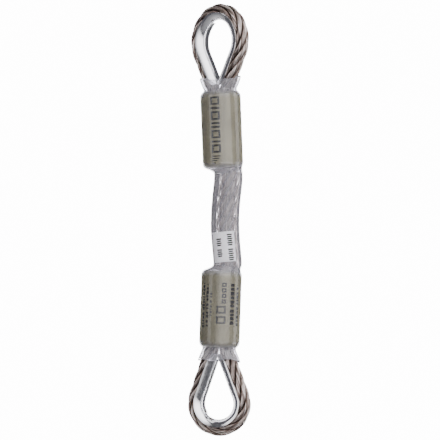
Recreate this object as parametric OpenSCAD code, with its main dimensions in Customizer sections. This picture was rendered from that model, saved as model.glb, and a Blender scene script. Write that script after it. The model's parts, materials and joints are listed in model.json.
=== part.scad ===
// Short wire rope sling: one rope turned back round a thimble at each end,
// a pressed ferrule on each pair of rope legs, a clear sleeve over ferrules and
// free span, and a slip label under the sleeve.
// Row frame: +Z up along the hanging sling, X across the upper eye, +Y to the back.
// Origin: the upper eye's bearing point, at the crown of the upper thimble.

/* [Rope] */
// Nominal rope diameter
rope_d = 6; // [5.8:0.1:6.1]
// Lay length of the six outer strands
lay_len = 39; // [36:1:44]
// Radius of the circle that the strand centres lie on
strand_orbit = 2.08; // [2.06:0.01:2.1]
// Radius of one outer strand
strand_r = 0.9; // [0.8:0.01:0.92]
// Radius of the core strand
core_r = 1.1; // [0.9:0.01:1.14]

/* [Ferrules] */
// Ferrule length
ferrule_len = 31.8; // [30:0.1:33]
// Ferrule outside radius
ferrule_r = 7.75; // [7.5:0.05:7.75]
// Edge rounding of the ferrule
ferrule_round = 2.2; // [1.5:0.1:2.3]
// Distance of each rope leg from the ferrule axis
leg_off = 3.05; // [3.03:0.01:3.1]
// Radius of the two lobes pressed round the legs
lobe_r = 3.15; // [3.12:0.01:3.2]

/* [Upper eye] */
// Half width of the rope centreline at the upper crown
up_half_w = 10.3; // [10:0.1:10.5]
// Height of the crown above its widest level
up_crown_h = 12.65; // [12.4:0.05:12.9]
// Radius of the rope centreline at the tip of the crown
up_tip_r = 8.8; // [8.6:0.1:9]
// Widest level, measured from the ferrule mouth
up_level = 21.1; // [20.5:0.1:21.5]
// Sideways offset of the crown
up_shift = 0.8; // [0.4:0.1:1]
// Lean of the crown in degrees
up_lean = 9; // [6:1:10]

/* [Lower eye] */
// Half width of the rope centreline at the lower crown
lo_half_w = 10.7; // [10.5:0.1:11]
// Height of the crown beyond its widest level
lo_crown_h = 10.6; // [10.4:0.05:10.7]
// Radius of the rope centreline at the tip of the crown
lo_tip_r = 11.6; // [11:0.1:12.5]
// Widest level, measured from the ferrule mouth
lo_level = 23.6; // [23.2:0.1:24]
// Sideways offset of the crown
lo_shift = 0.9; // [0.5:0.1:1.2]
// Lean of the crown in degrees
lo_lean = 0; // [0:1:3]

/* [Thimbles] */
// Groove radius
groove_r = 3.2; // [3.15:0.01:3.25]
// Outside radius of the channel
channel_r = 4.4; // [4.3:0.05:4.45]
// Rope centre to the flat bearing face
bearing_u = 4; // [3.95:0.05:4.1]
// Rope centre to the plane of the channel's edges
edge_u = 0.8; // [0.6:0.1:1]

/* [Sleeve and label] */
// Wall of the clear sleeve over the ferrules
sleeve_wall = 0.75; // [0.6:0.05:0.8]
// Wall of the sleeve over the free span
span_wall = 2.3; // [2:0.05:2.35]
// Outside radius of the sleeve over the free span
sleeve_span_r = 6.05; // [5.9:0.05:6.1]
// Label width round the sleeve
label_w = 10.4; // [9:0.1:11]
// Label height
label_h = 12.6; // [11:0.1:12.8]
// Label thickness
label_t = 0.2; // [0.1:0.05:0.25]

/* [Set of the sling] */
// Tilt of the upper end in degrees
tilt_up = 2.5; // [2:0.1:3]
// Tilt of the lower end in degrees
tilt_lo = 2.05; // [1.5:0.05:2.5]
// Turn of the lower eye from the upper eye in degrees
eye_turn = 10; // [8:1:12]

/* [Hidden] */

eps = 0.01;
strand_sides = 6;    // sides of a strand's tube
ring_step = 2.4;     // spacing of the rings along the rope
neck_r = 8;          // radius of each leg's outward bend at the ferrule mouth
neck_v = -0.5;       // where that bend starts
tip_s = 2.6;         // how far up the bends the thimble's points begin
thimble_step = 1.5;  // spacing of the thimble's sections
sleeve_n = 24;       // sides of the sleeve's sections
total_h = 180;       // outside length of the sling
lower_x = -0.61;     // lower ferrule mouth, across
z_bend = -77.5;       // height of the middle bending place
bend_at = 7.5;       // the upper bending place, from the ferrule
z_turn = -86;        // height of the twisting place
rope_gap = 2;        // opening in the rope where it bends
sleeve_gap = 2.7;    // opening in the sleeve where it bends
rope_turn_gap = 0.8; // opening in the rope where it twists
sleeve_turn_gap = 0.3; // opening in the sleeve where it twists
set_bow = 1.9;       // sideways set of the free span

steel = [0.62, 0.6, 0.57];
bright = [0.8, 0.8, 0.82];
alu = [0.56, 0.55, 0.49];
clear = [0.72, 0.71, 0.75, 0.4];
white = [0.93, 0.92, 0.94];

// ---- eye path: lines [0, length, x, v, heading] and arcs [1, length, cx, cv, radius, start, sign]
function ang(p) = atan2(p[1], p[0]);
function flipx(p) = [-p[0], p[1]];
// heading of the line that leaves the neck bend and meets a crown arc of radius r at c
function leg_heading(c, r) = let (f = [leg_off + neck_r, neck_v], d = c - f)
  ang(d) - asin((r + neck_r) / norm(d));
function left_of(h) = [-sin(h), cos(h)];
function side_r(a, b, t) = (t * t - a * a - (b - t) * (b - t)) / (2 * (t - a));
function arc_len(r, a) = r * abs(a) * PI / 180;

// eye = [half width, crown height, tip radius, level, shift, lean]
up_eye = [up_half_w, up_crown_h, up_tip_r, up_level, up_shift, up_lean];
lo_eye = [lo_half_w, lo_crown_h, lo_tip_r, lo_level, lo_shift, lo_lean];

function eye_prims(e) = let (
    a = e[0], b = e[1], t = e[2], k = [e[4], e[3]], g = e[5],
    r = side_r(a, b, t),
    e1 = [cos(g), -sin(g)], e2 = [sin(g), cos(g)],
    cr = k - (r - a) * e1, cl = k + (r - a) * e1, ct = k + (b - t) * e2,
    sg = r > t ? 1 : -1,
    etar = ang(sg * (ct - cr)), etal = ang(sg * (ct - cl)),
    hr = leg_heading(cr, r), hl = leg_heading(flipx(cl), r),
    fr = [leg_off + neck_r, neck_v], fl = flipx(fr),
    pr0 = fr + neck_r * left_of(hr), pr1 = cr - r * left_of(hr),
    pl0 = flipx(fr + neck_r * left_of(hl)), pl1 = flipx(flipx(cl) - r * left_of(hl))
  ) [
    [0, ferrule_len + neck_v, -leg_off, -ferrule_len, 90],
    [1, arc_len(neck_r, 90 - hl), fl[0], fl[1], neck_r, 0, 1],
    [0, norm(pl1 - pl0), pl0[0], pl0[1], 180 - hl],
    [1, arc_len(r, 270 - hl - etal), cl[0], cl[1], r, 270 - hl, -1],
    [1, arc_len(t, etal - etar), ct[0], ct[1], t, etal, -1],
    [1, arc_len(r, etar - hr + 90), cr[0], cr[1], r, etar, -1],
    [0, norm(pr1 - pr0), pr1[0], pr1[1], hr + 180],
    [1, arc_len(neck_r, 90 - hr), fr[0], fr[1], neck_r, hr + 90, 1],
    [0, ferrule_len + neck_v, leg_off, neck_v, -90]
  ];
function prims_len(p, i = 0) = i >= len(p) ? 0 : p[i][1] + prims_len(p, i + 1);
// [x, v, heading] on one primitive, and along the whole eye
function on_prim(q, d) = q[0] == 0
  ? [q[2] + d * cos(q[4]), q[3] + d * sin(q[4]), q[4]]
  : let (w = q[5] + q[6] * d / q[4] * 180 / PI)
    [q[2] + q[4] * cos(w), q[3] + q[4] * sin(w), w + q[6] * 90];
function on_eye(p, s, i = 0) = (s <= p[i][1] || i == len(p) - 1)
  ? on_prim(p[i], s) : on_eye(p, s - p[i][1], i + 1);

up_prims = eye_prims(up_eye);
lo_prims = eye_prims(lo_eye);
up_len = prims_len(up_prims);
lo_len = prims_len(lo_prims);

// ---- frames of the two ends
function turn_z(p, a) = [p[0] * cos(a) - p[1] * sin(a), p[0] * sin(a) + p[1] * cos(a), p[2]];
ux = [cos(tilt_up), 0, sin(tilt_up)];
uv = [-sin(tilt_up), 0, cos(tilt_up)];
uw = cross(ux, uv);
lx = turn_z([cos(tilt_lo), 0, -sin(tilt_lo)], eye_turn);
lv = turn_z([-sin(tilt_lo), 0, -cos(tilt_lo)], eye_turn);
lw = cross(lx, lv);
up_tip = [up_shift + (up_crown_h - up_tip_r) * sin(up_lean),
  up_level + (up_crown_h - up_tip_r) * cos(up_lean) + up_tip_r];
uo = -up_tip[0] * ux - (up_tip[1] - bearing_u) * uv;
lo_tip_v = lo_level + lo_crown_h;
lo = [lower_x, 0, bearing_u + rope_d / 2 - total_h + (lo_tip_v + rope_d / 2) * cos(tilt_lo)];

module in_frame(o, x, v, w) {
  multmatrix([[x[0], v[0], w[0], o[0]], [x[1], v[1], w[1], o[1]],
    [x[2], v[2], w[2], o[2]], [0, 0, 0, 1]]) children();
}
module at_upper() in_frame(uo, ux, uv, uw) children();
module at_lower() in_frame(lo, lx, lv, lw) children();

// ---- whole rope: [point, tangent, outward normal] at distance s from the upper dead end
pa = uo + leg_off * ux - ferrule_len * uv;
pb = lo + leg_off * lx - ferrule_len * lv;
span = norm(pb - pa);
function unit(p) = p / norm(p);
function bow(t) = 16 * t * t * (1 - t) * (1 - t);
function on_span(t) = (1 + 2 * t) * (1 - t) * (1 - t) * pa - t * (1 - t) * (1 - t) * span * uv
  + t * t * (3 - 2 * t) * pb - t * t * (1 - t) * -1 * -span * lv
  - set_bow * bow(t) * [1, 0, 0];
function span_at(t) = let (
    p = on_span(t), q = unit(on_span(t + 0.002) - on_span(t - 0.002)),
    g = t <= 0.002 ? -uv : t >= 0.998 ? lv : q,
    m = (1 - t) * ux + t * lx)
  [p, g, unit(m - (m * g) * g)];
function to3(o, x, v, q, flip) = let (h = q[2])
  [o + q[0] * x + q[1] * v, (flip ? -1 : 1) * (cos(h) * x + sin(h) * v), -sin(h) * x + cos(h) * v];
rope_len = up_len + span + lo_len;
function on_rope(s) = s < up_len ? to3(uo, ux, uv, on_eye(up_prims, s), false)
  : s < up_len + span ? span_at((s - up_len) / span)
  : to3(lo, lx, lv, on_eye(lo_prims, rope_len - s), true);

// rope distance where the free span crosses a height
function s_at_z(z, a = 0, b = 1, n = 0) = let (m = (a + b) / 2)
  n > 24 ? up_len + m * span : on_span(m)[2] > z ? s_at_z(z, m, b, n + 1) : s_at_z(z, a, m, n + 1);
s_bend = s_at_z(z_bend);
s_turn = s_at_z(z_turn);

// ---- tubes swept along the rope
function ring(s, orbit, r, k, n) = let (
    f = on_rope(s), b = cross(f[1], f[2]), a = 360 * s / lay_len + 60 * k,
    e1 = cos(a) * f[2] + sin(a) * b,
    h = unit(f[1] + orbit * 2 * PI / lay_len * (cos(a) * b - sin(a) * f[2])),
    e2 = cross(h, e1))
  [for (i = [0:n - 1]) f[0] + orbit * e1 + r * (cos(360 * i / n) * e1 + sin(360 * i / n) * e2)];
module rope_tube(s0, s1, orbit, r, k, n, step) {
  m = ceil((s1 - s0) / step);
  pts = [for (j = [0:m]) each ring(s0 + (s1 - s0) * j / m, orbit, r, k, n)];
  sides = [for (j = [0:m - 1], i = [0:n - 1]) let (a = j * n + i, b = j * n + (i + 1) % n)
    each [[a, b, a + n], [b, b + n, a + n]]];
  polyhedron(pts, concat([[for (i = [0:n - 1]) n - 1 - i]],
    sides, [[for (i = [0:n - 1]) m * n + i]]), convexity = 8);
}
module strand(s0, s1, k) color(steel) rope_tube(s0, s1, strand_orbit, strand_r, k, strand_sides, ring_step);
module core(s0, s1) color(steel) rope_tube(s0, s1, 0, core_r, 0, 6, 3);

// ---- thimble: one channel swept along the inside of the rope
outer_a0 = acos(edge_u / channel_r);     // from the bearing face's middle round to the edge
outer_a1 = acos(bearing_u / channel_r);
inner_a0 = acos(edge_u / groove_r);
outer_half = [for (i = [0:3]) outer_a0 + (outer_a1 - outer_a0) * i / 3];
channel_pts = concat( // [distance inward from the rope centre, across the channel]
  [for (a = outer_half) channel_r * [cos(a), sin(a)]],
  [for (i = [3:-1:0]) channel_r * [cos(outer_half[i]), -sin(outer_half[i])]],
  [for (i = [0:6]) groove_r * [cos(inner_a0 * (i / 3 - 1)), sin(inner_a0 * (i / 3 - 1))]]);
module thimble(p) color(bright) {
  total = prims_len(p);
  s0 = ferrule_len + neck_v + tip_s;
  m = round((total - 2 * s0) / thimble_step);
  n = len(channel_pts);
  pts = [for (j = [0:m]) let (q = on_eye(p, s0 + (total - 2 * s0) * j / m), h = q[2],
      lim = q[1] > 10 ? channel_r : (abs(q[0]) - 0.08) / abs(sin(h)))
    each [for (c = channel_pts) let (d = min(c[0], lim)) [q[0] + d * sin(h), q[1] - d * cos(h), c[1]]]];
  sides = [for (j = [0:m - 1], i = [0:n - 1]) let (a = j * n + i, b = j * n + (i + 1) % n)
    each [[a, a + n, b], [b, a + n, b + n]]];
  cap = concat([[6, 7, 8]], [for (k = [0:5]) each [[k, k + 1, 13 - k], [k, 13 - k, 14 - k]]]);
  polyhedron(pts, concat(cap, sides, [for (t = cap) m * n * [1, 1, 1] + [t[2], t[1], t[0]]]), convexity = 8);
}

// ---- ferrule, along -v from its mouth
module ferrule() color(alu) rotate([90, 0, 0]) difference() {
  rotate_extrude($fn = 96) {
    difference() {
      square([ferrule_r, ferrule_len]);
      translate([ferrule_r - ferrule_round, ferrule_len - ferrule_round]) corner_cut();
      translate([ferrule_r - ferrule_round, ferrule_round]) mirror([0, 1]) corner_cut();
    }
  }
  for (x = [-leg_off, leg_off]) translate([x, 0, -1]) cylinder(r = lobe_r, h = ferrule_len + 2, $fn = 64);
}
module corner_cut() difference() {
  square(ferrule_round + 1);
  circle(ferrule_round, $fn = 64);
}

// ---- sleeve: closed loft through elliptical sections, inside and out
function sq(c, p) = sign(c) * pow(abs(c), p); // p below 1 squares an ellipse up
module loft(secs, n) { // secs = [[c, va, vb, ra, rb, wall, p], ...]
  m = len(secs);
  k = 1 / cos(180 / n);
  outer = [for (q = secs) each [for (i = [0:n - 1])
    q[0] + q[3] * sq(cos(360 * i / n), q[6]) * q[1] + q[4] * sq(sin(360 * i / n), q[6]) * q[2]]];
  inner = [for (q = secs) each [for (i = [0:n - 1])
    q[0] + (q[3] - q[5]) * k * sq(cos(360 * i / n), q[6]) * q[1] + (q[4] - q[5]) * k * sq(sin(360 * i / n), q[6]) * q[2]]];
  o = m * n;
  faces = [for (j = [0:m - 2], i = [0:n - 1]) let (a = j * n + i, b = j * n + (i + 1) % n)
      each [[a, b, a + n], [b, b + n, a + n], [o + b, o + a, o + a + n], [o + b + n, o + b, o + a + n]]];
  caps = [for (i = [0:n - 1]) let (b = (i + 1) % n, t = (m - 1) * n)
      each [[b, i, o + i], [b, o + i, o + b], [t + i, t + b, o + t + i], [t + b, o + t + b, o + t + i]]];
  polyhedron(concat(outer, inner), concat(faces, caps), convexity = 6);
}
// sections of an end's sleeve: [v, x, half width, half depth, wall, squareness]
end_secs = [
  [6.2, 0.2, 8.95, 5.2, 0.45, 0.6], [4.6, 0.12, 8.35, 5.22, 0.5, 0.6], [3.1, 0.05, 7.8, 5.3, 0.55, 0.65],
  [1.8, 0, 7.3, 5.4, 0.6, 0.75], [0.9, 0, 7.05, 5.7, 0.65, 0.9], [0.3, 0, 7.3, 6.7, 0.75, 1],
  [-0.3, 0, 7.85, 7.75, 0.75, 1], [-1.1, 0, 8.35, 8.32, 0.75, 1], [-2.2, 0, 8.56, 8.56, 0.75, 1],
  [-10, 0, 8.56, 8.56, 0.75, 1], [-20, 0, 8.56, 8.56, 0.75, 1], [-29.6, 0, 8.56, 8.56, 0.75, 1],
  [-30.6, 0, 8.38, 8.38, 0.75, 1], [-31.6, 0.1, 7.95, 7.95, 0.8, 1]];
// the shoulder: distance past the ferrule, share of the way to the span's centre, radius, wall
shoulder = [[0.8, 0.36, 7.15, 1.7], [1.6, 0.74, 6.5, 2.0], [2.5, 0.95, 6.12, 2.15], [3.4, 1, sleeve_span_r, span_wall]];
span_side = -0.5;  // the sleeve's centre lies this far beside the rope's
function span_sec(t, o, x, v, d) = let ( // t along the span, blended from the end's own axis by d
    f = on_rope(up_len + t * span), c1 = f[0] + span_side * f[2],
    side = cross(f[1], f[2]), h = (f[0] - o) * v, c0 = o + h * v)
  [c0 + d * (c1 - c0), f[2], side];
function end_ring(o, x, v, w, q) = [o + q[0] * v + q[1] * x, x, w, q[2], q[3], q[4] * sleeve_wall / 0.75, q[5]];
function upper_secs() = concat(
  [for (q = end_secs) end_ring(uo, ux, uv, uw, q)],
  [for (q = shoulder) let (c = span_sec(q[0] / span, uo, ux, uv, q[1])) [c[0], c[1], c[2], q[2], q[2], q[3], 1]]);
t_bend = (s_bend - up_len) / span;
function mid_sec(t) = let (c = span_sec(t, uo, ux, uv, 1)) [c[0], c[1], c[2], sleeve_span_r, sleeve_span_r, span_wall, 1];
function lower_secs() = concat(
  [for (i = [len(shoulder) - 1:-1:0]) let (q = shoulder[i], c = span_sec(1 - q[0] / span, lo, lx, lv, q[1]))
    [c[0], c[1], c[2], q[2], q[2], q[3], 1]],
  [for (i = [len(end_secs) - 1:-1:0]) end_ring(lo, lx, lv, -lw, end_secs[i])]);
t_up = bend_at / span;
t_lo = (s_turn - up_len) / span;
bend_half = sleeve_gap / span / 2;
turn_half = sleeve_turn_gap / span / 2;
module sleeve_run(t0, t1) color(clear) loft(reverse([for (i = [0:3]) mid_sec(t0 + (t1 - t0) * i / 3)]), sleeve_n);
module sleeve_upper() color(clear) loft(reverse(concat(upper_secs(), [mid_sec(t_up - bend_half)])), sleeve_n);
module sleeve_span_upper() sleeve_run(t_up + bend_half, t_bend - bend_half);
module sleeve_span_lower() sleeve_run(t_bend + bend_half, t_lo - turn_half);
t_free = 1 - shoulder[3][0] / span; // where the lower shoulder begins
module sleeve_lower() color(clear) loft(reverse(concat(
  [for (i = [0:3]) mid_sec(t_lo + turn_half + (t_free - t_lo - turn_half) * i / 4)], lower_secs())), sleeve_n);
function reverse(l) = [for (i = [len(l) - 1:-1:0]) l[i]];

// ---- label: a curved slip on the sleeve's front
label_z = -94.25;    // height of its middle
label_turn = -82;    // bearing of its middle round the sleeve, in degrees
label_r = 6.42;      // outside radius of the slip
module label() {
  t = (s_at_z(label_z) - up_len) / span;
  c = span_sec(t, uo, ux, uv, 1);
  half = label_w / label_r * 90 / PI;
  n = 10;
  arc = [for (i = [0:n]) label_turn - half + 2 * half * i / n];
  color(white) in_frame(c[0], c[1], -c[2], cross(c[1], -c[2]))
    translate([0, 0, -label_h / 2]) linear_extrude(label_h)
      polygon(concat([for (a = arc) label_r * [cos(a), sin(a)]],
        [for (i = [n:-1:0]) (label_r - label_t) * [cos(arc[i]), sin(arc[i])]]));
}

// ---- pieces
s_up0 = 0.6;                  // the dead end stops just inside the ferrule
s_up1 = up_len + bend_at;     // the upper bending place
s_lo0 = s_turn;               // the twisting place
s_lo1 = rope_len - 0.6;
g = rope_gap / 2;
gt = rope_turn_gap / 2;
module upper_strand(k) strand(s_up0, s_up1 - g, k);
module lower_strand(k) strand(s_lo0 + gt, s_lo1, k);
module span_strands(s0, s1) for (k = [0:5]) strand(s0, s1, k);

at_upper() thimble(up_prims);  // upper_thimble
at_upper() ferrule();  // upper_ferrule
upper_strand(0);  // upper_strand_1
upper_strand(1);  // upper_strand_2
upper_strand(2);  // upper_strand_3
upper_strand(3);  // upper_strand_4
upper_strand(4);  // upper_strand_5
upper_strand(5);  // upper_strand_6
core(s_up0, s_up1 - g);  // upper_core_strand
sleeve_upper();
span_strands(s_up1 + g, s_bend - g);  // span_upper_strands
core(s_up1 + g, s_bend - g);  // span_upper_core_strand
sleeve_span_upper();
span_strands(s_bend + g, s_lo0 - gt);  // span_lower_strands
core(s_bend + g, s_lo0 - gt);  // span_lower_core_strand
sleeve_span_lower();
label();
at_lower() thimble(lo_prims);  // lower_thimble
at_lower() ferrule();  // lower_ferrule
lower_strand(0);  // lower_strand_1
lower_strand(1);  // lower_strand_2
lower_strand(2);  // lower_strand_3
lower_strand(3);  // lower_strand_4
lower_strand(4);  // lower_strand_5
lower_strand(5);  // lower_strand_6
core(s_lo0 + gt, s_lo1);  // lower_core_strand
sleeve_lower();
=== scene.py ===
import json
import math

import bmesh
import bpy
import numpy as np
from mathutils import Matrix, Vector


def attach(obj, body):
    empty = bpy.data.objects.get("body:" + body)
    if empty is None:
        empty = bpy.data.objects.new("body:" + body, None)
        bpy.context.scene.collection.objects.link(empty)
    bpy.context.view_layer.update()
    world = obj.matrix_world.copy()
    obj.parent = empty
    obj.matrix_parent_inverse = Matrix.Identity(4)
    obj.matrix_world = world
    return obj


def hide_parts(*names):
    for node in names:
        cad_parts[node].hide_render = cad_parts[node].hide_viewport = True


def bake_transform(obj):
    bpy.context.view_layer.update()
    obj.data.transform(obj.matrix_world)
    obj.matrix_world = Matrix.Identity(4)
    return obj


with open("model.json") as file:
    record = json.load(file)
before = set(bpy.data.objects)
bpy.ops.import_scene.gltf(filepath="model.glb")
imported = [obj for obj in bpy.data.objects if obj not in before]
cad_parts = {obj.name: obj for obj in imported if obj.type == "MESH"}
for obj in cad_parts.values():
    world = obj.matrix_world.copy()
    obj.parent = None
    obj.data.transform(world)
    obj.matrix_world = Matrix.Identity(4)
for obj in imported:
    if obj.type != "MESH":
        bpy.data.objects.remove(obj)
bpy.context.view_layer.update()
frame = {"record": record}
rng = np.random.default_rng(7)
MM = 0.001

# ------------------------------------------------------------------ geometry of the sling (mm, row frame)
LAY = 39.0
ORBIT = 2.0
LEG, FER_L, FER_R, FER_RND, LOBE = 3.05, 31.8, 7.75, 2.2, 3.15
NECK_R, NECK_V = 8.0, -0.5
BEAR, EDGE, CH_R, GROOVE = 4.0, 0.8, 4.4, 3.12
SLEEVE_R, WALL = 6.05, 0.75
TILT_UP, TILT_LO, TURN = 2.5, 2.05, 10.0
UP = dict(a=10.3, b=12.65, t=8.8, k=(0.8, 21.1), g=9.0)
LO = dict(a=10.7, b=10.6, t=11.6, k=(0.9, 23.6), g=0.0)
SIN = lambda d: math.sin(math.radians(d))
COS = lambda d: math.cos(math.radians(d))


def v2(x, y):
    return np.array([x, y], float)


def ang(p):
    return math.degrees(math.atan2(p[1], p[0]))


def left_of(h):
    return v2(-SIN(h), COS(h))


def leg_heading(c, r):
    d = c - v2(LEG + NECK_R, NECK_V)
    return ang(d) - math.degrees(math.asin((r + NECK_R) / np.linalg.norm(d)))


def eye_prims(e):
    a, b, t, k, g = e["a"], e["b"], e["t"], v2(*e["k"]), e["g"]
    r = (t * t - a * a - (b - t) ** 2) / (2 * (t - a))
    e1, e2 = v2(COS(g), -SIN(g)), v2(SIN(g), COS(g))
    cr, cl, ct = k - (r - a) * e1, k + (r - a) * e1, k + (b - t) * e2
    sg = 1 if r > t else -1
    etar, etal = ang(sg * (ct - cr)), ang(sg * (ct - cl))
    flip = lambda p: v2(-p[0], p[1])
    hr, hl = leg_heading(cr, r), leg_heading(flip(cl), r)
    fr = v2(LEG + NECK_R, NECK_V)
    fl = flip(fr)
    pr0, pr1 = fr + NECK_R * left_of(hr), cr - r * left_of(hr)
    pl0, pl1 = flip(fr + NECK_R * left_of(hl)), flip(flip(cl) - r * left_of(hl))
    al = lambda rr, dd: rr * abs(dd) * math.pi / 180
    return [
        (0, FER_L + NECK_V, -LEG, -FER_L, 90),
        (1, al(NECK_R, 90 - hl), fl[0], fl[1], NECK_R, 0, 1),
        (0, float(np.linalg.norm(pl1 - pl0)), pl0[0], pl0[1], 180 - hl),
        (1, al(r, 270 - hl - etal), cl[0], cl[1], r, 270 - hl, -1),
        (1, al(t, etal - etar), ct[0], ct[1], t, etal, -1),
        (1, al(r, etar - hr + 90), cr[0], cr[1], r, etar, -1),
        (0, float(np.linalg.norm(pr1 - pr0)), pr1[0], pr1[1], hr + 180),
        (1, al(NECK_R, 90 - hr), fr[0], fr[1], NECK_R, hr + 90, 1),
        (0, FER_L + NECK_V, LEG, NECK_V, -90),
    ]


def on_eye(prims, s):
    for i, q in enumerate(prims):
        if s <= q[1] or i == len(prims) - 1:
            if q[0] == 0:
                return q[2] + s * COS(q[4]), q[3] + s * SIN(q[4]), q[4]
            w = q[5] + q[6] * math.degrees(s / q[4])
            return q[2] + q[4] * COS(w), q[3] + q[4] * SIN(w), w + q[6] * 90
        s -= q[1]


UPP, LOP = eye_prims(UP), eye_prims(LO)
UP_LEN, LO_LEN = sum(q[1] for q in UPP), sum(q[1] for q in LOP)


def turn_z(p, a):
    return np.array([p[0] * COS(a) - p[1] * SIN(a), p[0] * SIN(a) + p[1] * COS(a), p[2]])


UX = np.array([COS(TILT_UP), 0, SIN(TILT_UP)])
UV = np.array([-SIN(TILT_UP), 0, COS(TILT_UP)])
UW = np.cross(UX, UV)
LX = turn_z([COS(TILT_LO), 0, -SIN(TILT_LO)], TURN)
LV = turn_z([-SIN(TILT_LO), 0, -COS(TILT_LO)], TURN)
LW = np.cross(LX, LV)
up_tip = (UP["k"][0] + (UP["b"] - UP["t"]) * SIN(UP["g"]), UP["k"][1] + (UP["b"] - UP["t"]) * COS(UP["g"]) + UP["t"])
UO = -up_tip[0] * UX - (up_tip[1] - BEAR) * UV
LO_TIP = LO["k"][1] + LO["b"]
LOO = np.array([-0.61, 0, BEAR + 3 - 180 + (LO_TIP + 3) * COS(TILT_LO)])
PA, PB = UO + LEG * UX - FER_L * UV, LOO + LEG * LX - FER_L * LV
SPAN = float(np.linalg.norm(PB - PA))
TOTAL = UP_LEN + SPAN + LO_LEN


def unit(p):
    return p / np.linalg.norm(p)


def span_pt(t):
    return ((1 + 2 * t) * (1 - t) ** 2 * PA - t * (1 - t) ** 2 * SPAN * UV + t * t * (3 - 2 * t) * PB
            - t * t * (1 - t) * SPAN * LV - 1.9 * 16 * t * t * (1 - t) ** 2 * np.array([1.0, 0, 0]))


def span_frame(t):
    g = -UV if t <= 0.002 else LV if t >= 0.998 else unit(span_pt(t + 0.002) - span_pt(t - 0.002))
    m = (1 - t) * UX + t * LX
    return span_pt(t), g, unit(m - (m @ g) * g)


def on_rope(s):
    if s < UP_LEN:
        x, v, h = on_eye(UPP, s)
        return UO + x * UX + v * UV, COS(h) * UX + SIN(h) * UV, -SIN(h) * UX + COS(h) * UV
    if s < UP_LEN + SPAN:
        return span_frame((s - UP_LEN) / SPAN)
    x, v, h = on_eye(LOP, TOTAL - s)
    return LOO + x * LX + v * LV, -(COS(h) * LX + SIN(h) * LV), -SIN(h) * LX + COS(h) * LV


def s_at_z(z):
    a, b = 0.0, 1.0
    for _ in range(40):
        m = (a + b) / 2
        a, b = (m, b) if span_pt(m)[2] > z else (a, m)
    return UP_LEN + a * SPAN


J1, J2, J3 = (frame["record"]["behaviour"]["joints"][i]["pos_m"] for i in range(3))
S1, S2, S3 = UP_LEN + 7.5, s_at_z(-77.5), s_at_z(-86)
SEAM_A, SEAM_B = (S1 + S2) / 2, (S2 + S3) / 2
ZONE = {
    "A": ("upper_end", "span_upper", UP_LEN + 0.8, SEAM_A - 0.2),
    "B": ("span_upper", "span_lower", SEAM_A + 0.2, SEAM_B - 0.2),
    "C": ("span_lower", "lower_end", SEAM_B + 0.1, S3 + (S3 - SEAM_B) - 0.2),
}


def blend_zone(o, zone):
    a, b, s0, s1 = ZONE[zone]
    tuple(on_rope(s0)[0] * MM)
    tuple(on_rope(s1)[0] * MM)
    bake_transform(o)


# ------------------------------------------------------------------ mesh helpers
def make_mesh(name, verts, faces, smooth=True, material=None, attrs=None, turn=False):
    me = bpy.data.meshes.new(name)
    me.from_pydata((np.asarray(verts, float) * MM).tolist(), [], faces)
    me.validate()
    if turn:  # closed pieces: all faces outward
        bm = bmesh.new()
        bm.from_mesh(me)
        bmesh.ops.recalc_face_normals(bm, faces=bm.faces)
        bm.to_mesh(me)
        bm.free()
    me.update()
    if smooth:
        me.polygons.foreach_set("use_smooth", [True] * len(me.polygons))
    for key, values in (attrs or {}).items():
        a = me.attributes.new(key, "FLOAT", "POINT")
        a.data.foreach_set("value", np.asarray(values, np.float32))
    o = bpy.data.objects.new(name, me)
    bpy.context.scene.collection.objects.link(o)
    if material:
        me.materials.append(material)
    return o


def sharp(o, degrees):
    import_angle = math.radians(degrees)
    o.data.set_sharp_from_angle(angle=import_angle)


def tube_faces(m, n, off, caps=True):
    """rings 0..m, n points each"""
    faces = []
    for j in range(m):
        a = off + j * n
        for i in range(n):
            k = (i + 1) % n
            faces.append((a + i, a + k, a + n + k, a + n + i))
    if caps:
        faces.append(tuple(off + i for i in range(n))[::-1])
        faces.append(tuple(off + m * n + i for i in range(n)))
    return faces


def noise1(x, seed, scale):
    """smooth value noise, about -1..1"""
    r = np.random.default_rng(seed).uniform(-1, 1, 512)
    x = np.asarray(x, float) / scale + 100
    i = np.floor(x).astype(int)
    f = x - i
    f = f * f * (3 - 2 * f)
    return r[i % 512] * (1 - f) + r[(i + 1) % 512] * f


# ------------------------------------------------------------------ materials
def new_mat(name):
    m = bpy.data.materials.new(name)
    m.use_nodes = True
    nt = m.node_tree
    return m, nt, nt.nodes["Principled BSDF"]


def node(nt, kind, **inputs):
    n = nt.nodes.new(kind)
    for k, v in inputs.items():
        n.inputs[k.replace("_", " ")].default_value = v
    return n


def ramp(nt, src, stops):
    r = nt.nodes.new("ShaderNodeValToRGB")
    e = r.color_ramp.elements
    while len(e) < len(stops):
        e.new(0.5)
    for i, (p, c) in enumerate(stops):
        e[i].position = p
        e[i].color = (*c, 1) if len(c) == 3 else c
    nt.links.new(src, r.inputs["Fac"])
    return r


def gray(v):
    return (v, v, v)


def coords(nt, scale):
    tc = nt.nodes.new("ShaderNodeTexCoord")
    mp = nt.nodes.new("ShaderNodeMapping")
    mp.inputs["Scale"].default_value = scale
    nt.links.new(tc.outputs["Object"], mp.inputs["Vector"])
    return mp.outputs["Vector"]


def noise(nt, vec, scale, detail=4.0, rough=0.5):
    n = nt.nodes.new("ShaderNodeTexNoise")
    n.inputs["Scale"].default_value = scale
    n.inputs["Detail"].default_value = detail
    n.inputs["Roughness"].default_value = rough
    nt.links.new(vec, n.inputs["Vector"])
    return n.outputs["Fac"]


def bump(nt, bsdf, src, strength, distance, chain=None):
    b = nt.nodes.new("ShaderNodeBump")
    b.inputs["Strength"].default_value = strength
    b.inputs["Distance"].default_value = distance
    nt.links.new(src, b.inputs["Height"])
    if chain is not None:
        nt.links.new(chain, b.inputs["Normal"])
    nt.links.new(b.outputs["Normal"], bsdf.inputs["Normal"])
    return b.outputs["Normal"]


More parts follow.
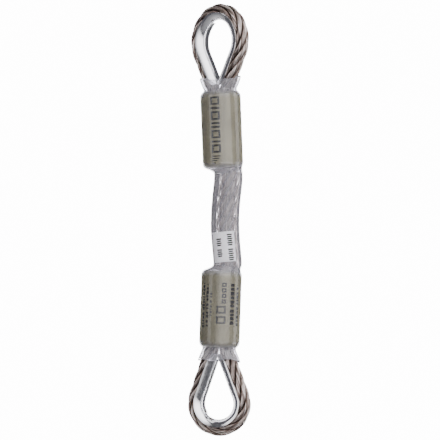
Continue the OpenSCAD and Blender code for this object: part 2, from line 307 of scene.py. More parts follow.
def mix(nt, fac, a, b, mode="MIX"):
    m = nt.nodes.new("ShaderNodeMix")
    m.data_type = "RGBA"
    m.blend_type = mode
    if isinstance(fac, float):
        m.inputs[0].default_value = fac
    else:
        nt.links.new(fac, m.inputs[0])
    for sock, v in ((m.inputs[6], a), (m.inputs[7], b)):
        if isinstance(v, tuple):
            sock.default_value = (*v, 1)
        else:
            nt.links.new(v, sock)
    return m.outputs[2]


def rope_material():
    m, nt, p = new_mat("drawn_wire")
    wire = nt.nodes.new("ShaderNodeAttribute"); wire.attribute_name = "wire_tone"
    depth = nt.nodes.new("ShaderNodeAttribute"); depth.attribute_name = "wire_depth"
    tone = ramp(nt, wire.outputs["Fac"], [(0.0, (0.17, 0.13, 0.115)), (0.5, (0.37, 0.315, 0.295)), (1.0, (0.80, 0.74, 0.72))])
    # wires nearer the rope's axis are darkened: painted shade in the grooves between strands and inside the rope,
    # with some dirt
    groove_shade_and_dirt = ramp(nt, depth.outputs["Fac"], [(0.0, (0.05, 0.036, 0.03)), (0.4, (0.24, 0.19, 0.17)), (0.68, (0.80, 0.75, 0.72)), (0.9, (1, 1, 1))])
    vec = coords(nt, (1, 1, 1))
    grime = ramp(nt, noise(nt, vec, 420, 5, 0.6), [(0.32, (0.55, 0.46, 0.36)), (0.6, (1, 1, 1))])
    c = mix(nt, 1.0, tone.outputs["Color"], groove_shade_and_dirt.outputs["Color"], "MULTIPLY")
    c = mix(nt, 0.6, c, grime.outputs["Color"], "MULTIPLY")
    nt.links.new(c, p.inputs["Base Color"])
    p.inputs["Metallic"].default_value = 1.0
    r = ramp(nt, noise(nt, vec, 1500, 4, 0.6), [(0.25, gray(0.22)), (0.8, gray(0.42))])
    nt.links.new(r.outputs["Color"], p.inputs["Roughness"])
    bump(nt, p, noise(nt, coords(nt, (1, 1, 0.12)), 9000, 3, 0.5), 0.25, 0.00002)
    return m


def thimble_material():
    m, nt, p = new_mat("polished_sheet")
    vec = coords(nt, (1, 1, 1))
    c = ramp(nt, noise(nt, vec, 160, 4, 0.55), [(0.3, (0.82, 0.82, 0.84)), (0.7, (0.94, 0.94, 0.955))])
    # the groove faces where the rope lies are darkened: painted shade under the rope
    depth = nt.nodes.new("ShaderNodeAttribute"); depth.attribute_name = "groove_shade"
    d = ramp(nt, depth.outputs["Fac"], [(0.0, (1, 1, 1)), (1.0, (0.30, 0.27, 0.24))])
    nt.links.new(mix(nt, 1.0, c.outputs["Color"], d.outputs["Color"], "MULTIPLY"), p.inputs["Base Color"])
    p.inputs["Metallic"].default_value = 1.0
    r = ramp(nt, noise(nt, vec, 700, 5, 0.6), [(0.3, gray(0.07)), (0.75, gray(0.22))])
    nt.links.new(r.outputs["Color"], p.inputs["Roughness"])
    # fine polishing scratches round the channel, and shallow forming dents
    n1 = bump(nt, p, noise(nt, coords(nt, (1, 14, 1)), 900, 3, 0.5), 0.12, 0.00003)
    bump(nt, p, noise(nt, vec, 130, 2, 0.5), 0.2, 0.0003, n1)
    return m


def ferrule_material():
    m, nt, p = new_mat("pressed_aluminium")
    vec = coords(nt, (1, 1, 1))
    streak = coords(nt, (1, 1, 0.05))
    base = ramp(nt, noise(nt, vec, 90, 5, 0.6), [(0.3, (0.31, 0.285, 0.185)), (0.7, (0.395, 0.365, 0.245))])
    st = ramp(nt, noise(nt, streak, 520, 4, 0.6), [(0.3, gray(0.72)), (0.65, gray(1.0))])
    broad = ramp(nt, noise(nt, coords(nt, (1, 1, 0.09)), 190, 3, 0.55), [(0.34, gray(0.74)), (0.52, gray(1.0)), (0.72, gray(0.9))])
    c = mix(nt, 0.7, base.outputs["Color"], st.outputs["Color"], "MULTIPLY")
    c = mix(nt, 0.6, c, broad.outputs["Color"], "MULTIPLY")
    speck = ramp(nt, noise(nt, vec, 1400, 2, 0.5), [(0.27, gray(0.45)), (0.36, gray(1.0))])
    c = mix(nt, 0.5, c, speck.outputs["Color"], "MULTIPLY")
    nt.links.new(c, p.inputs["Base Color"])
    p.inputs["Metallic"].default_value = 0.30
    r = ramp(nt, noise(nt, streak, 700, 4, 0.6), [(0.3, gray(0.38)), (0.75, gray(0.56))])
    nt.links.new(r.outputs["Color"], p.inputs["Roughness"])
    n1 = bump(nt, p, noise(nt, streak, 900, 4, 0.6), 0.35, 0.00004)
    bump(nt, p, noise(nt, vec, 260, 3, 0.5), 0.25, 0.00012, n1)
    return m


def sleeve_material():
    m, nt, p = new_mat("clear_shrunk_tube")
    vec = coords(nt, (1, 1, 1))
    # haze: thick plastic closed on the rope is cloudy, the thin film over the ferrules nearly clear
    haze = nt.nodes.new("ShaderNodeAttribute"); haze.attribute_name = "haze"
    tint = ramp(nt, haze.outputs["Fac"], [(0.0, (0.95, 0.945, 0.96)), (0.4, (0.82, 0.81, 0.85)), (1.0, (0.62, 0.60, 0.645))])
    mottle = ramp(nt, noise(nt, vec, 120, 3, 0.5), [(0.3, (0.93, 0.93, 0.94)), (0.7, (1, 1, 1))])
    nt.links.new(mix(nt, 1.0, tint.outputs["Color"], mottle.outputs["Color"], "MULTIPLY"), p.inputs["Base Color"])
    clear = ramp(nt, haze.outputs["Fac"], [(0.0, gray(0.98)), (0.4, gray(0.84)), (1.0, gray(0.74))])
    nt.links.new(clear.outputs["Color"], p.inputs["Transmission Weight"])
    p.inputs["IOR"].default_value = 1.45
    p.inputs["Specular IOR Level"].default_value = 0.12
    p.inputs["Metallic"].default_value = 0.0
    r = ramp(nt, noise(nt, coords(nt, (1, 1, 0.3)), 500, 4, 0.6), [(0.3, gray(0.03)), (0.8, gray(0.09))])
    nt.links.new(r.outputs["Color"], p.inputs["Roughness"])
    n1 = bump(nt, p, noise(nt, coords(nt, (1, 1, 0.18)), 260, 2, 0.5), 0.10, 0.00010)
    bump(nt, p, noise(nt, vec, 900, 3, 0.5), 0.04, 0.00002, n1)
    return m


def label_material():
    m, nt, p = new_mat("slip_paper")
    vec = coords(nt, (1, 1, 1))
    c = ramp(nt, noise(nt, vec, 900, 5, 0.6), [(0.3, (0.80, 0.79, 0.84)), (0.7, (0.90, 0.89, 0.93))])
    nt.links.new(c.outputs["Color"], p.inputs["Base Color"])
    r = ramp(nt, noise(nt, vec, 600, 3, 0.5), [(0.3, gray(0.5)), (0.7, gray(0.7))])
    nt.links.new(r.outputs["Color"], p.inputs["Roughness"])
    bump(nt, p, noise(nt, vec, 2500, 4, 0.6), 0.2, 0.00002)
    return m


def ink_material():
    m, nt, p = new_mat("printed_ink")
    vec = coords(nt, (1, 1, 1))
    c = ramp(nt, noise(nt, vec, 1800, 4, 0.6), [(0.3, (0.008, 0.008, 0.009)), (0.75, (0.03, 0.03, 0.032))])
    nt.links.new(c.outputs["Color"], p.inputs["Base Color"])
    r = ramp(nt, noise(nt, vec, 800, 3, 0.5), [(0.3, gray(0.6)), (0.7, gray(0.8))])
    nt.links.new(r.outputs["Color"], p.inputs["Roughness"])
    p.inputs["Specular IOR Level"].default_value = 0.2
    bump(nt, p, noise(nt, vec, 2500, 3, 0.6), 0.15, 0.00001)
    return m


M_ROPE, M_THIM, M_FER = rope_material(), thimble_material(), ferrule_material()
M_SLV, M_LAB, M_INK = sleeve_material(), label_material(), ink_material()

# ------------------------------------------------------------------ rope: 6 strands of 12 outer wires round a core
WIRE_R, WIRE_ORBIT, WIRE_RATE, SIDES, STEP = 0.198, 0.80, -0.572, 8, 0.7


def frames(s0, s1, step=STEP):
    m = max(2, int(math.ceil((s1 - s0) / step)))
    ss = np.linspace(s0, s1, m + 1)
    fr = [on_rope(s) for s in ss]
    P, T, N = (np.array([f[i] for f in fr]) for i in range(3))
    return ss, P, T, N, np.cross(T, N)


def strand_curve(ss, P, T, N, B, k, orbit=ORBIT):
    a = 2 * math.pi * ss / LAY + math.radians(60 * k)
    e1 = np.cos(a)[:, None] * N + np.sin(a)[:, None] * B
    w = orbit * 2 * math.pi / LAY
    h = T + w * (np.cos(a)[:, None] * B - np.sin(a)[:, None] * N)
    h /= np.linalg.norm(h, axis=1)[:, None]
    return P + orbit * e1, h, e1, np.cross(h, e1)


def wire_tubes(ss, C, e1, e2, axis_pts, count, orbit, rate, radius, seed, phase=0.0):
    verts, faces, tone, depth = [], [], [], []
    r = np.random.default_rng(seed)
    m, n, off = len(ss) - 1, SIDES, 0
    th = 2 * math.pi * np.arange(n) / n
    for j in range(count):
        b = rate * ss + 2 * math.pi * j / count + phase
        jit = orbit + 0.012 * noise1(ss, seed * 31 + j, 6.0)
        W = C + jit[:, None] * (np.cos(b)[:, None] * e1 + np.sin(b)[:, None] * e2)
        t = np.gradient(W, axis=0)
        t /= np.linalg.norm(t, axis=1)[:, None]
        u = W - C
        u -= np.sum(u * t, axis=1)[:, None] * t
        u /= np.linalg.norm(u, axis=1)[:, None]
        v = np.cross(t, u)
        pts = W[:, None, :] + radius * (np.cos(th)[None, :, None] * u[:, None, :] + np.sin(th)[None, :, None] * v[:, None, :])
        verts.append(pts.reshape(-1, 3))
        faces += tube_faces(m, n, off)
        off += (m + 1) * n
        tone.append(np.full((m + 1) * n, np.clip(r.normal(0.5, 0.34), 0, 1)))
        # distance from the rope's axis, which sets the painted shade in the grooves and on the inward sides of the
        # wires
        d = np.linalg.norm(pts - axis_pts[:, None, :], axis=2).reshape(-1)
        depth.append(np.clip((d - 1.9) / 1.0, 0, 1))
    return np.concatenate(verts), faces, np.concatenate(tone), np.concatenate(depth)


def strand_piece(name, s0, s1, ks, seed, zone, nodes):
    ss, P, T, N, B = frames(s0, s1)
    V, F, TN, DP, off = [], [], [], [], 0
    for k in ks:
        C, h, e1, e2 = strand_curve(ss, P, T, N, B, k)
        v, f, t, d = wire_tubes(ss, C, e1, e2, P, 12, WIRE_ORBIT, WIRE_RATE, WIRE_R, seed + 7 * k, phase=0.13 * k)
        V.append(v); TN.append(t); DP.append(d)
        F += [tuple(i + off for i in q) for q in f]
        off += len(v)
    o = make_mesh(name, np.concatenate(V), F, True, M_ROPE, {"wire_tone": np.concatenate(TN), "wire_depth": np.concatenate(DP)})
    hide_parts(*nodes)
    blend_zone(o, zone)
    return o


def core_piece(name, s0, s1, zone, nodes):
    ss, P, T, N, B = frames(s0, s1, 1.0)
    rate = 2 * math.pi / 15
    v, f, t, d = wire_tubes(ss, P, N, B, P, 12, 0.78, rate, 0.198, 977)
    # the seven inner wires, seen only as a filled middle
    off = len(v)
    th = 2 * math.pi * np.arange(10) / 10
    c = P[:, None, :] + 0.57 * (np.cos(th)[None, :, None] * N[:, None, :] + np.sin(th)[None, :, None] * B[:, None, :])
    f = list(f) + tube_faces(len(ss) - 1, 10, off)
    # all core wires take wire_depth 0: the darkest painted shade, as deep inside the rope
    o = make_mesh(name, np.concatenate([v, c.reshape(-1, 3)]), f, True, M_ROPE,
                  {"wire_tone": np.concatenate([t, np.full(c.shape[0] * 10, 0.4)]), "wire_depth": np.concatenate([d * 0, np.zeros(c.shape[0] * 10)])})
    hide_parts(*nodes)
    blend_zone(o, zone)


for k in range(6):
    strand_piece(f"upper_strand_{k + 1}_wires", 0.6, SEAM_A, [k], 100, "A", [f"upper_strand_{k + 1}"])
    strand_piece(f"lower_strand_{k + 1}_wires", SEAM_B, TOTAL - 0.6, [k], 100, "C", [f"lower_strand_{k + 1}"])
strand_piece("span_strand_wires", SEAM_A, SEAM_B, range(6), 100, "B", ["span_upper_strands", "span_lower_strands"])
core_piece("upper_core_wires", 0.6, SEAM_A, "A", ["upper_core_strand"])
core_piece("span_core_wires", SEAM_A, SEAM_B, "B", ["span_upper_core_strand", "span_lower_core_strand"])
core_piece("lower_core_wires", SEAM_B, TOTAL - 0.6, "C", ["lower_core_strand"])


# ------------------------------------------------------------------ thimbles
def thimble_piece(name, prims, O, X, V, seed, cad, body):
    W = np.cross(X, V)
    total = sum(q[1] for q in prims)
    s0 = FER_L + NECK_V + 2.6
    m = 150
    ao0, ao1 = math.acos(EDGE / CH_R), math.acos(BEAR / CH_R)
    ai0 = math.acos(EDGE / GROOVE)
    outer = [ao0 + (ao1 - ao0) * i / 9 for i in range(10)]
    sec, kinds = [], []
    rnd = 0.16
    # outer flank from one edge to the flat bearing face, softened where they meet
    for i, a in enumerate(outer):
        d, w = CH_R * math.cos(a), CH_R * math.sin(a)
        sec.append((d, w)); kinds.append(0)
    bw = sec[-1][1]
    for f in (0.6, 0.2, -0.2, -0.6):
        sec.append((BEAR + 0.02 * (1 - f * f), bw * f)); kinds.append(0)
    for i, a in enumerate(reversed(outer)):
        sec.append((CH_R * math.cos(a), -CH_R * math.sin(a))); kinds.append(0)
    # the rolled edge and the groove
    sec.append((EDGE - rnd, -(CH_R * math.sin(ao0) + GROOVE * math.sin(ai0)) / 2)); kinds.append(0)
    for i in range(17):
        a = ai0 * (i / 8 - 1)
        sec.append((GROOVE * math.cos(a), GROOVE * math.sin(a))); kinds.append(1)
    sec.append((EDGE - rnd, (CH_R * math.sin(ao0) + GROOVE * math.sin(ai0)) / 2)); kinds.append(0)
    sec = np.array(sec)
    n = len(sec)
    verts, groove_shade = [], []
    for j in range(m + 1):
        s = s0 + (total - 2 * s0) * j / m
        x, v, h = on_eye(prims, s)
        lim = CH_R if v > 10 else (abs(x) - 0.08) / abs(SIN(h))
        end = min(j, m - j) / m * (total - 2 * s0)
        # the channel's lips wander slightly, and are cut back to points by the ferrule
        lip = 0.10 * noise1([s], seed, 4.0)[0] + 0.05 * noise1([s], seed + 1, 1.6)[0]
        cut = 1.6 * max(0.0, 1 - end / 5.0) ** 1.5
        for i, (d, w) in enumerate(sec):
            near = max(0.0, 1 - (d - (EDGE - rnd)) / 1.6)
            dd = d + near * (lip + cut) * (0.6 + 0.4 * math.copysign(1, w) * noise1([s], seed + 5, 7.0)[0])
            dd = min(dd, lim)
            verts.append(O + (x + dd * SIN(h)) * X + (v - dd * COS(h)) * V + w * W)
            # groove faces get the painted shade under the rope
            groove_shade.append(1.0 if kinds[i] else 0.0)
    faces = []
    for j in range(m):
        a = j * n
        for i in range(n):
            k = (i + 1) % n
            faces.append((a + i, a + n + i, a + n + k, a + k))
    faces.append(tuple(range(n)))
    faces.append(tuple(m * n + i for i in range(n))[::-1])
    o = make_mesh(name, verts, faces, True, M_THIM, {"groove_shade": groove_shade}, True)
    sharp(o, 38)
    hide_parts(cad)
    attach(o, body)


thimble_piece("upper_thimble_channel", UPP, UO, UX, UV, 11, "upper_thimble", "upper_end")
thimble_piece("lower_thimble_channel", LOP, LOO, LX, LV, 23, "lower_thimble", "lower_end")


# ------------------------------------------------------------------ ferrules
def lobe_radius(th):
    c, s = abs(math.cos(th)), math.sin(th)
    return LEG * c + math.sqrt(max(0.0, LOBE ** 2 - (LEG * s) ** 2))


def ferrule_piece(name, O, X, V, seed, cad, body):
    W = np.cross(X, V)
    n = 144
    verts = []
    prof_n = None
    for i in range(n):
        th = 2 * math.pi * i / n
        ri = lobe_radius(th)
        # the pressing tool's parting lines stand slightly proud at the two sides, and its faces are not quite round
        side = math.exp(-((math.degrees(abs(math.remainder(th - math.pi / 2, math.pi)))) / 2.2) ** 2)
        R = FER_R - 0.07 + 0.06 * side - 0.035 * (0.5 - 0.5 * math.cos(4 * th))
        ra = max(R - FER_RND, ri + 0.25)
        prof = []
        for f in (0.0, 0.5, 1.0):
            prof.append((ri + (ra - ri) * f, 0.0))
        for q in range(1, 9):
            a = math.pi / 2 * q / 8
            prof.append((ra + (R - ra) * math.sin(a), -FER_RND * (1 - math.cos(a))))
        for q in range(1, 28):
            z = -FER_RND - (FER_L - 2 * FER_RND) * q / 28
            wob = 0.02 * noise1([z + 50], seed + int(th * 3), 5.0)[0]
            prof.append((R + min(0.0, wob), z))
        for q in range(8, 0, -1):
            a = math.pi / 2 * q / 8
            prof.append((ra + (R - ra) * math.sin(a), -FER_L + FER_RND * (1 - math.cos(a))))
        for f in (1.0, 0.5, 0.0):
            prof.append((ri + (ra - ri) * f, -FER_L))
        for q in range(1, 8):
            prof.append((ri, -FER_L + FER_L * q / 8))
        prof_n = len(prof)
        for r, z in prof:
            verts.append(O + r * math.cos(th) * X + z * V + r * math.sin(th) * W)
    faces = []
    for i in range(n):
        a, b = i * prof_n, ((i + 1) % n) * prof_n
        for q in range(prof_n):
            k = (q + 1) % prof_n
            faces.append((a + q, a + k, b + k, b + q))
    o = make_mesh(name, verts, faces, True, M_FER, None, True)
    sharp(o, 40)
    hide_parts(cad)
    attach(o, body)


ferrule_piece("upper_ferrule_body", UO, UX, UV, 40, "upper_ferrule", "upper_end")
ferrule_piece("lower_ferrule_body", LOO, LX, LV, 60, "lower_ferrule", "lower_end")


# generic printing: plain bars and blocks on a cylinder, each a thin closed patch
def patch(verts, faces, O, X, V, W, r, th0, th1, z0, z1, thick=0.012):
    n = max(2, int(abs(th1 - th0) / 4) + 1)
    off = len(verts)
    for i in range(n + 1):
        th = math.radians(th0 + (th1 - th0) * i / n)
        e = math.cos(th) * X + math.sin(th) * W
        for rr, zz in ((r, z0), (r, z1), (r + thick, z1), (r + thick, z0)):
            verts.append(O + rr * e + zz * V)
    for i in range(n):
        a = off + 4 * i
        for q in range(4):
            k = (q + 1) % 4
            faces.append((a + q, a + 4 + q, a + 4 + k, a + k))
    faces.append((off + 3, off + 2, off + 1, off))
    a = off + 4 * n
    faces.append((a, a + 1, a + 2, a + 3))


def marks(name, O, X, V, r, rows, body=None, zone=None):
    W = np.cross(X, V)
    verts, faces = [], []
    for th0, th1, z0, z1 in rows:
        patch(verts, faces, O, X, V, W, r, th0, th1, z0, z1)
    o = make_mesh(name, verts, faces, False, M_INK, None, True)
    if zone:
        blend_zone(o, zone)
    else:
        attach(o, body)
    return o


def facing(x_mm, r, X, W):
    """bearing round an axis, in degrees, of the point seen x_mm beside it from the photograph's side"""
    right = np.array([COS(28), SIN(28), 0])
    cam = np.array([SIN(28), -COS(28), 0])
    a = math.asin(max(-1, min(1, x_mm / r)))
    d = math.sin(a) * right + math.cos(a) * cam
    return math.degrees(math.atan2(d @ W, d @ X))


# upper ferrule: a column of plain blocks beside four short ticks
UWW, LWW = np.cross(UX, UV), np.cross(LX, LV)
rows = []


def block(rows_, x0, x1, z0, z1, r, X, W):
    a0, a1 = facing(x0, r, X, W), facing(x1, r, X, W)
    rows_.append((min(a0, a1), max(a0, a1), z0, z1))


R_MARK = FER_R - 0.025


def hollow(rows_, x0, x1, z0, z1, r, X, W, stroke):
    """an outlined block"""
    block(rows_, x0, x1, z1 - stroke, z1, r, X, W)
    block(rows_, x0, x1, z0, z0 + stroke, r, X, W)
    for a, b in ((x0, x0 + stroke), (x1 - stroke, x1)):
        block(rows_, a, b, z0 + stroke, z1 - stroke, r, X, W)


z = -2.2
for i, (kind, thick, gap_) in enumerate([("o", 3.4, 1.0), ("b", 0.8, 0.9), ("o", 3.6, 1.0), ("b", 0.8, 0.7), ("b", 0.8, 0.9), ("o", 3.4, 1.0), ("b", 0.8, 0.8), ("o", 3.4, 1.2)]):
    if kind == "o":
        hollow(rows, -4.2, -0.6, z - thick, z, R_MARK, UX, UWW, 0.75)
    else:
        block(rows, -4.2, -0.6, z - thick, z, R_MARK, UX, UWW)
    z -= thick + gap_
for i, w in enumerate((3.4, 2.7, 2.0, 1.3)):
    block(rows, -4.2, -4.2 + w, z - 0.42, z, R_MARK, UX, UWW)
    z -= 0.95
marks("upper_ferrule_print", UO, UX, UV, R_MARK, rows, body="upper_end")

# lower ferrule: columns of small dashes, and one column of larger blocks
rows = []


def dashes(x, width, z_from, z_to, seed, dash=(0.8, 1.9), gap=0.55):
    r = np.random.default_rng(seed)
    z = z_from
    while z > z_to:
        l = r.uniform(*dash)
        block(rows, x - width / 2, x + width / 2, max(z - l, z_to), z, R_MARK, LX, LWW)
        z -= l + (gap if r.random() > 0.22 else gap * 2.6)


# LV points down here, so heights run from the mouth at 0 to -FER_L at the top
dashes(-6.6, 0.55, -8.0, -26.5, 1, (0.5, 1.3), 0.45)
dashes(-5.3, 0.8, -8.5, -26.0, 2, (0.6, 1.4), 0.45)
dashes(-3.9, 0.7, -13.0, -23.0, 3, (0.5, 1.1), 0.45)
for z0, z1 in [(-13.0, -9.8), (-17.2, -14.0), (-20.0, -18.2), (-22.3, -20.5), (-24.6, -22.8), (-26.9, -25.1)]:
    hollow(rows, -1.7 if z0 > -18 else 0.3, 2.2, z0, z1, R_MARK, LX, LWW, 0.75 if z0 > -18 else 0.6)
dashes(4.6, 1.5, -9.5, -26.5, 5, (1.0, 1.6), 0.4)
dashes(6.5, 0.7, -9.0, -25.0, 6, (0.8, 1.5), 0.4)
marks("lower_ferrule_print", LOO, LX, LV, R_MARK, rows, body="lower_end")


# ------------------------------------------------------------------ clear sleeve
# along the end, across, half width, half depth, wall, squareness
END = [(6.2, 0.2, 8.95, 5.2, 0.45, 0.6), (4.6, 0.12, 8.35, 5.22, 0.5, 0.6), (3.1, 0.05, 7.8, 5.3, 0.55, 0.65),
       (1.8, 0, 7.3, 5.4, 0.6, 0.75), (0.9, 0, 7.05, 5.7, 0.65, 0.9), (0.3, 0, 7.3, 6.7, 0.75, 1),
       (-0.3, 0, 7.85, 7.75, 0.75, 1), (-1.1, 0, 8.35, 8.32, 0.75, 1), (-2.2, 0, 8.56, 8.56, 0.75, 1),
       (-10, 0, 8.56, 8.56, 0.75, 1), (-20, 0, 8.56, 8.56, 0.75, 1), (-29.6, 0, 8.56, 8.56, 0.75, 1),
       (-30.6, 0, 8.38, 8.38, 0.75, 1), (-31.6, 0.1, 7.95, 7.95, 0.8, 1)]
SPAN_WALL = 2.3
SHOULDER = [(0.8, 0.36, 7.15, 1.7), (1.6, 0.74, 6.5, 2.0), (2.5, 0.95, 6.12, 2.15), (3.4, 1.0, SLEEVE_R, SPAN_WALL)]


def span_sec(t, O, V, d):
    P, g, nrm = on_rope(UP_LEN + t * SPAN)
    c1 = P - 0.5 * nrm
    c0 = O + ((P - O) @ V) * V
    return c0 + d * (c1 - c0), nrm, np.cross(g, nrm)


def key_sections():
    keys = []  # (pos, centre, va, vb, ra, rb)
    for v, x, a, b, wl, sq in END:
        keys.append([-v, UO + v * UV + x * UX, UX, UWW, a, b, wl, sq])
    base = FER_L
    for q, d, r, wl in SHOULDER:
        c = span_sec(q / SPAN, UO, UV, d)
        keys.append([base + q, c[0], c[1], c[2], r, r, wl, 1])
    for i in range(1, 12):
        q = 3.4 + (SPAN - 6.8) * i / 12
        c = span_sec(q / SPAN, UO, UV, 1.0)
        keys.append([base + q, c[0], c[1], c[2], SLEEVE_R, SLEEVE_R, SPAN_WALL, 1])
    for q, d, r, wl in reversed(SHOULDER):
        c = span_sec(1 - q / SPAN, LOO, LV, d)
        keys.append([base + SPAN - q, c[0], c[1], c[2], r, r, wl, 1])
    for v, x, a, b, wl, sq in reversed(END):
        keys.append([2 * base + SPAN + v, LOO + v * LV + x * LX, LX, -LWW, a, b, wl, sq])
    return keys


KEYS = key_sections()
KP = np.array([k[0] for k in KEYS])


def sec_at(p):
    """sections between the keys, by a monotone-ish cubic"""
    i = int(np.clip(np.searchsorted(KP, p) - 1, 0, len(KEYS) - 2))
    h = KP[i + 1] - KP[i]
    t = (p - KP[i]) / h

    def val(j, idx):
        k = KEYS[min(max(j, 0), len(KEYS) - 1)]
        return np.asarray(k[idx], float)

    def slope(j, idx):
        a, b = max(j - 1, 0), min(j + 1, len(KEYS) - 1)
        return (val(b, idx) - val(a, idx)) / (KP[b] - KP[a])

    out = []
    for idx in (1, 2, 3, 4, 5, 6, 7):
        p0, p1 = val(i, idx), val(i + 1, idx)
        m0, m1 = slope(i, idx) * h, slope(i + 1, idx) * h
        if idx >= 4:
            m0, m1 = (np.clip(mm, -3 * abs(p1 - p0), 3 * abs(p1 - p0)) if abs(p1 - p0) > 1e-9 else 0.0 for mm in (m0, m1))
        out.append((2 * t ** 3 - 3 * t ** 2 + 1) * p0 + (t ** 3 - 2 * t ** 2 + t) * m0 + (-2 * t ** 3 + 3 * t ** 2) * p1 + (t ** 3 - t ** 2) * m1)
    return out


P_TOP, P_BOT = KP[0], KP[-1]
POS_A, POS_B = FER_L + SEAM_A - UP_LEN, FER_L + SEAM_B - UP_LEN
NS = 96


def rim(th, seed):
    """how far the ragged end runs on past its mean, by bearing"""
    d = lambda c: abs(math.remainder(th - c, 2 * math.pi))
    out = 0.35 * math.sin(3 * th + seed) + 0.25 * math.sin(5 * th + 2 * seed) + 0.12 * math.sin(11 * th + seed)
    for c, amp, wid in ((0.0, 1.0, 0.22), (math.pi, 0.9, 0.2), (0.7 + seed, 0.4, 0.15)):
        out += amp * math.exp(-(d(c) / wid) ** 2)
    return out - 0.95


def sleeve_piece(name, p0, p1, zone, cads, step=0.55):
    m = int(math.ceil((p1 - p0) / step))
    ths = 2 * math.pi * np.arange(NS) / NS
    outer, inner, haze = [], [], []
    for j in range(m + 1):
        p = p0 + (p1 - p0) * j / m
        q = min(p, 2 * FER_L + SPAN - p)
        cloud = 0.5 if q < 0 else 0.5 - 0.45 * q / 1.5 if q < 1.5 else 0.05 if q < FER_L - 1.8 else min(1.0, 0.05 + 0.95 * (q - FER_L + 1.8) / 3.2)
        haze += [cloud] * NS
        for i, th in enumerate(ths):
            pp, lift = p, 0.0
            # ragged rims at the two real ends
            if p < P_TOP + 4.5 and zone == "A":
                pp = P_TOP + 4.5 - (4.5 + min(0.0, rim(th, 1.3))) * (P_TOP + 4.5 - p) / 4.5
            if p > P_BOT - 4.5 and zone == "C":
                pp = P_BOT - 4.5 + (4.5 + min(0.0, rim(th, 2.6))) * (p - P_BOT + 4.5) / 4.5
            pp = min(max(pp, P_TOP), P_BOT)
            key = (round(pp, 4))
            c, va, vb, ra, rb, wl, sq = cached(key)
            # shrink lines and slight waves
            w = 0.035 * noise1([p * 1.0 + 3.0 * math.sin(th)], 71, 3.0)[0] + 0.03 * noise1([th * 6 + 0.13 * p], 72, 1.0)[0]
            near = math.exp(-(min(abs(p - FER_L - 1.2), abs(p - FER_L - SPAN + 1.2)) / 2.2) ** 2)
            w += near * 0.10 * math.sin(9 * th + 0.6 * p)
            over = p < FER_L or p > FER_L + SPAN
            if over and -1.0 < p < 2 * FER_L + SPAN + 1.0:
                w = max(w * 0.5, 0.0) * 0.6
            w = min(w, 0.12)
            ct, st = math.cos(th), math.sin(th)
            ct, st = math.copysign(abs(ct) ** sq, ct), math.copysign(abs(st) ** sq, st)
            outer.append(c + (ra + w - 0.05) * ct * va + (rb + w - 0.05) * st * vb)
            ia, ib = ra - wl + 0.03, rb - wl + 0.03
            ci = c
            if 1.5 < q < FER_L - 1.5:  # tight on the ferrule
                f = min(1.0, (q - 1.5) / 1.0, (FER_L - 1.5 - q) / 1.0)
                ia, ib = ia + f * (FER_R - 0.13 - ia), ib + f * (FER_R - 0.13 - ib)
            if FER_L + 0.2 < p < FER_L + SPAN - 0.2:  # shrunk on to the rope, into the grooves between its strands
                f = min(1.0, (p - FER_L - 0.2) / 2.6, (FER_L + SPAN - 0.2 - p) / 2.6)
                f = f * f * (3 - 2 * f)
                rp = on_rope(UP_LEN + p - FER_L)[0]
                ci = c + f * (rp - c)
                ia, ib = ia + f * (2.55 - ia), ib + f * (2.55 - ib)
            inner.append(ci + ia * ct * va + ib * st * vb)
    n = NS
    off = len(outer)
    faces = []
    for j in range(m):
        for i in range(n):
            k = (i + 1) % n
            a = j * n
            faces.append((a + i, a + k, a + n + k, a + n + i))
            faces.append((off + a + k, off + a + i, off + a + n + i, off + a + n + k))
    if zone == "A":
        for i in range(n):
            k = (i + 1) % n
            faces.append((off + i, off + k, k, i))
    if zone == "C":
        for i in range(n):
            k = (i + 1) % n
            a = m * n
            faces.append((off + a + k, off + a + i, a + i, a + k))
    o = make_mesh(name, outer + inner, faces, True, M_SLV, {"haze": haze + haze})
    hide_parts(*cads)
    blend_zone(o, zone)


_cache = {}


def cached(p):
    if p not in _cache:
        _cache[p] = sec_at(p)
    return _cache[p]


sleeve_piece("sleeve_upper_part", P_TOP, POS_A, "A", ["sleeve_upper"])
sleeve_piece("sleeve_span_part", POS_A, POS_B, "B", ["sleeve_span_upper", "sleeve_span_lower"])
sleeve_piece("sleeve_lower_part", POS_B, P_BOT, "C", ["sleeve_lower"])


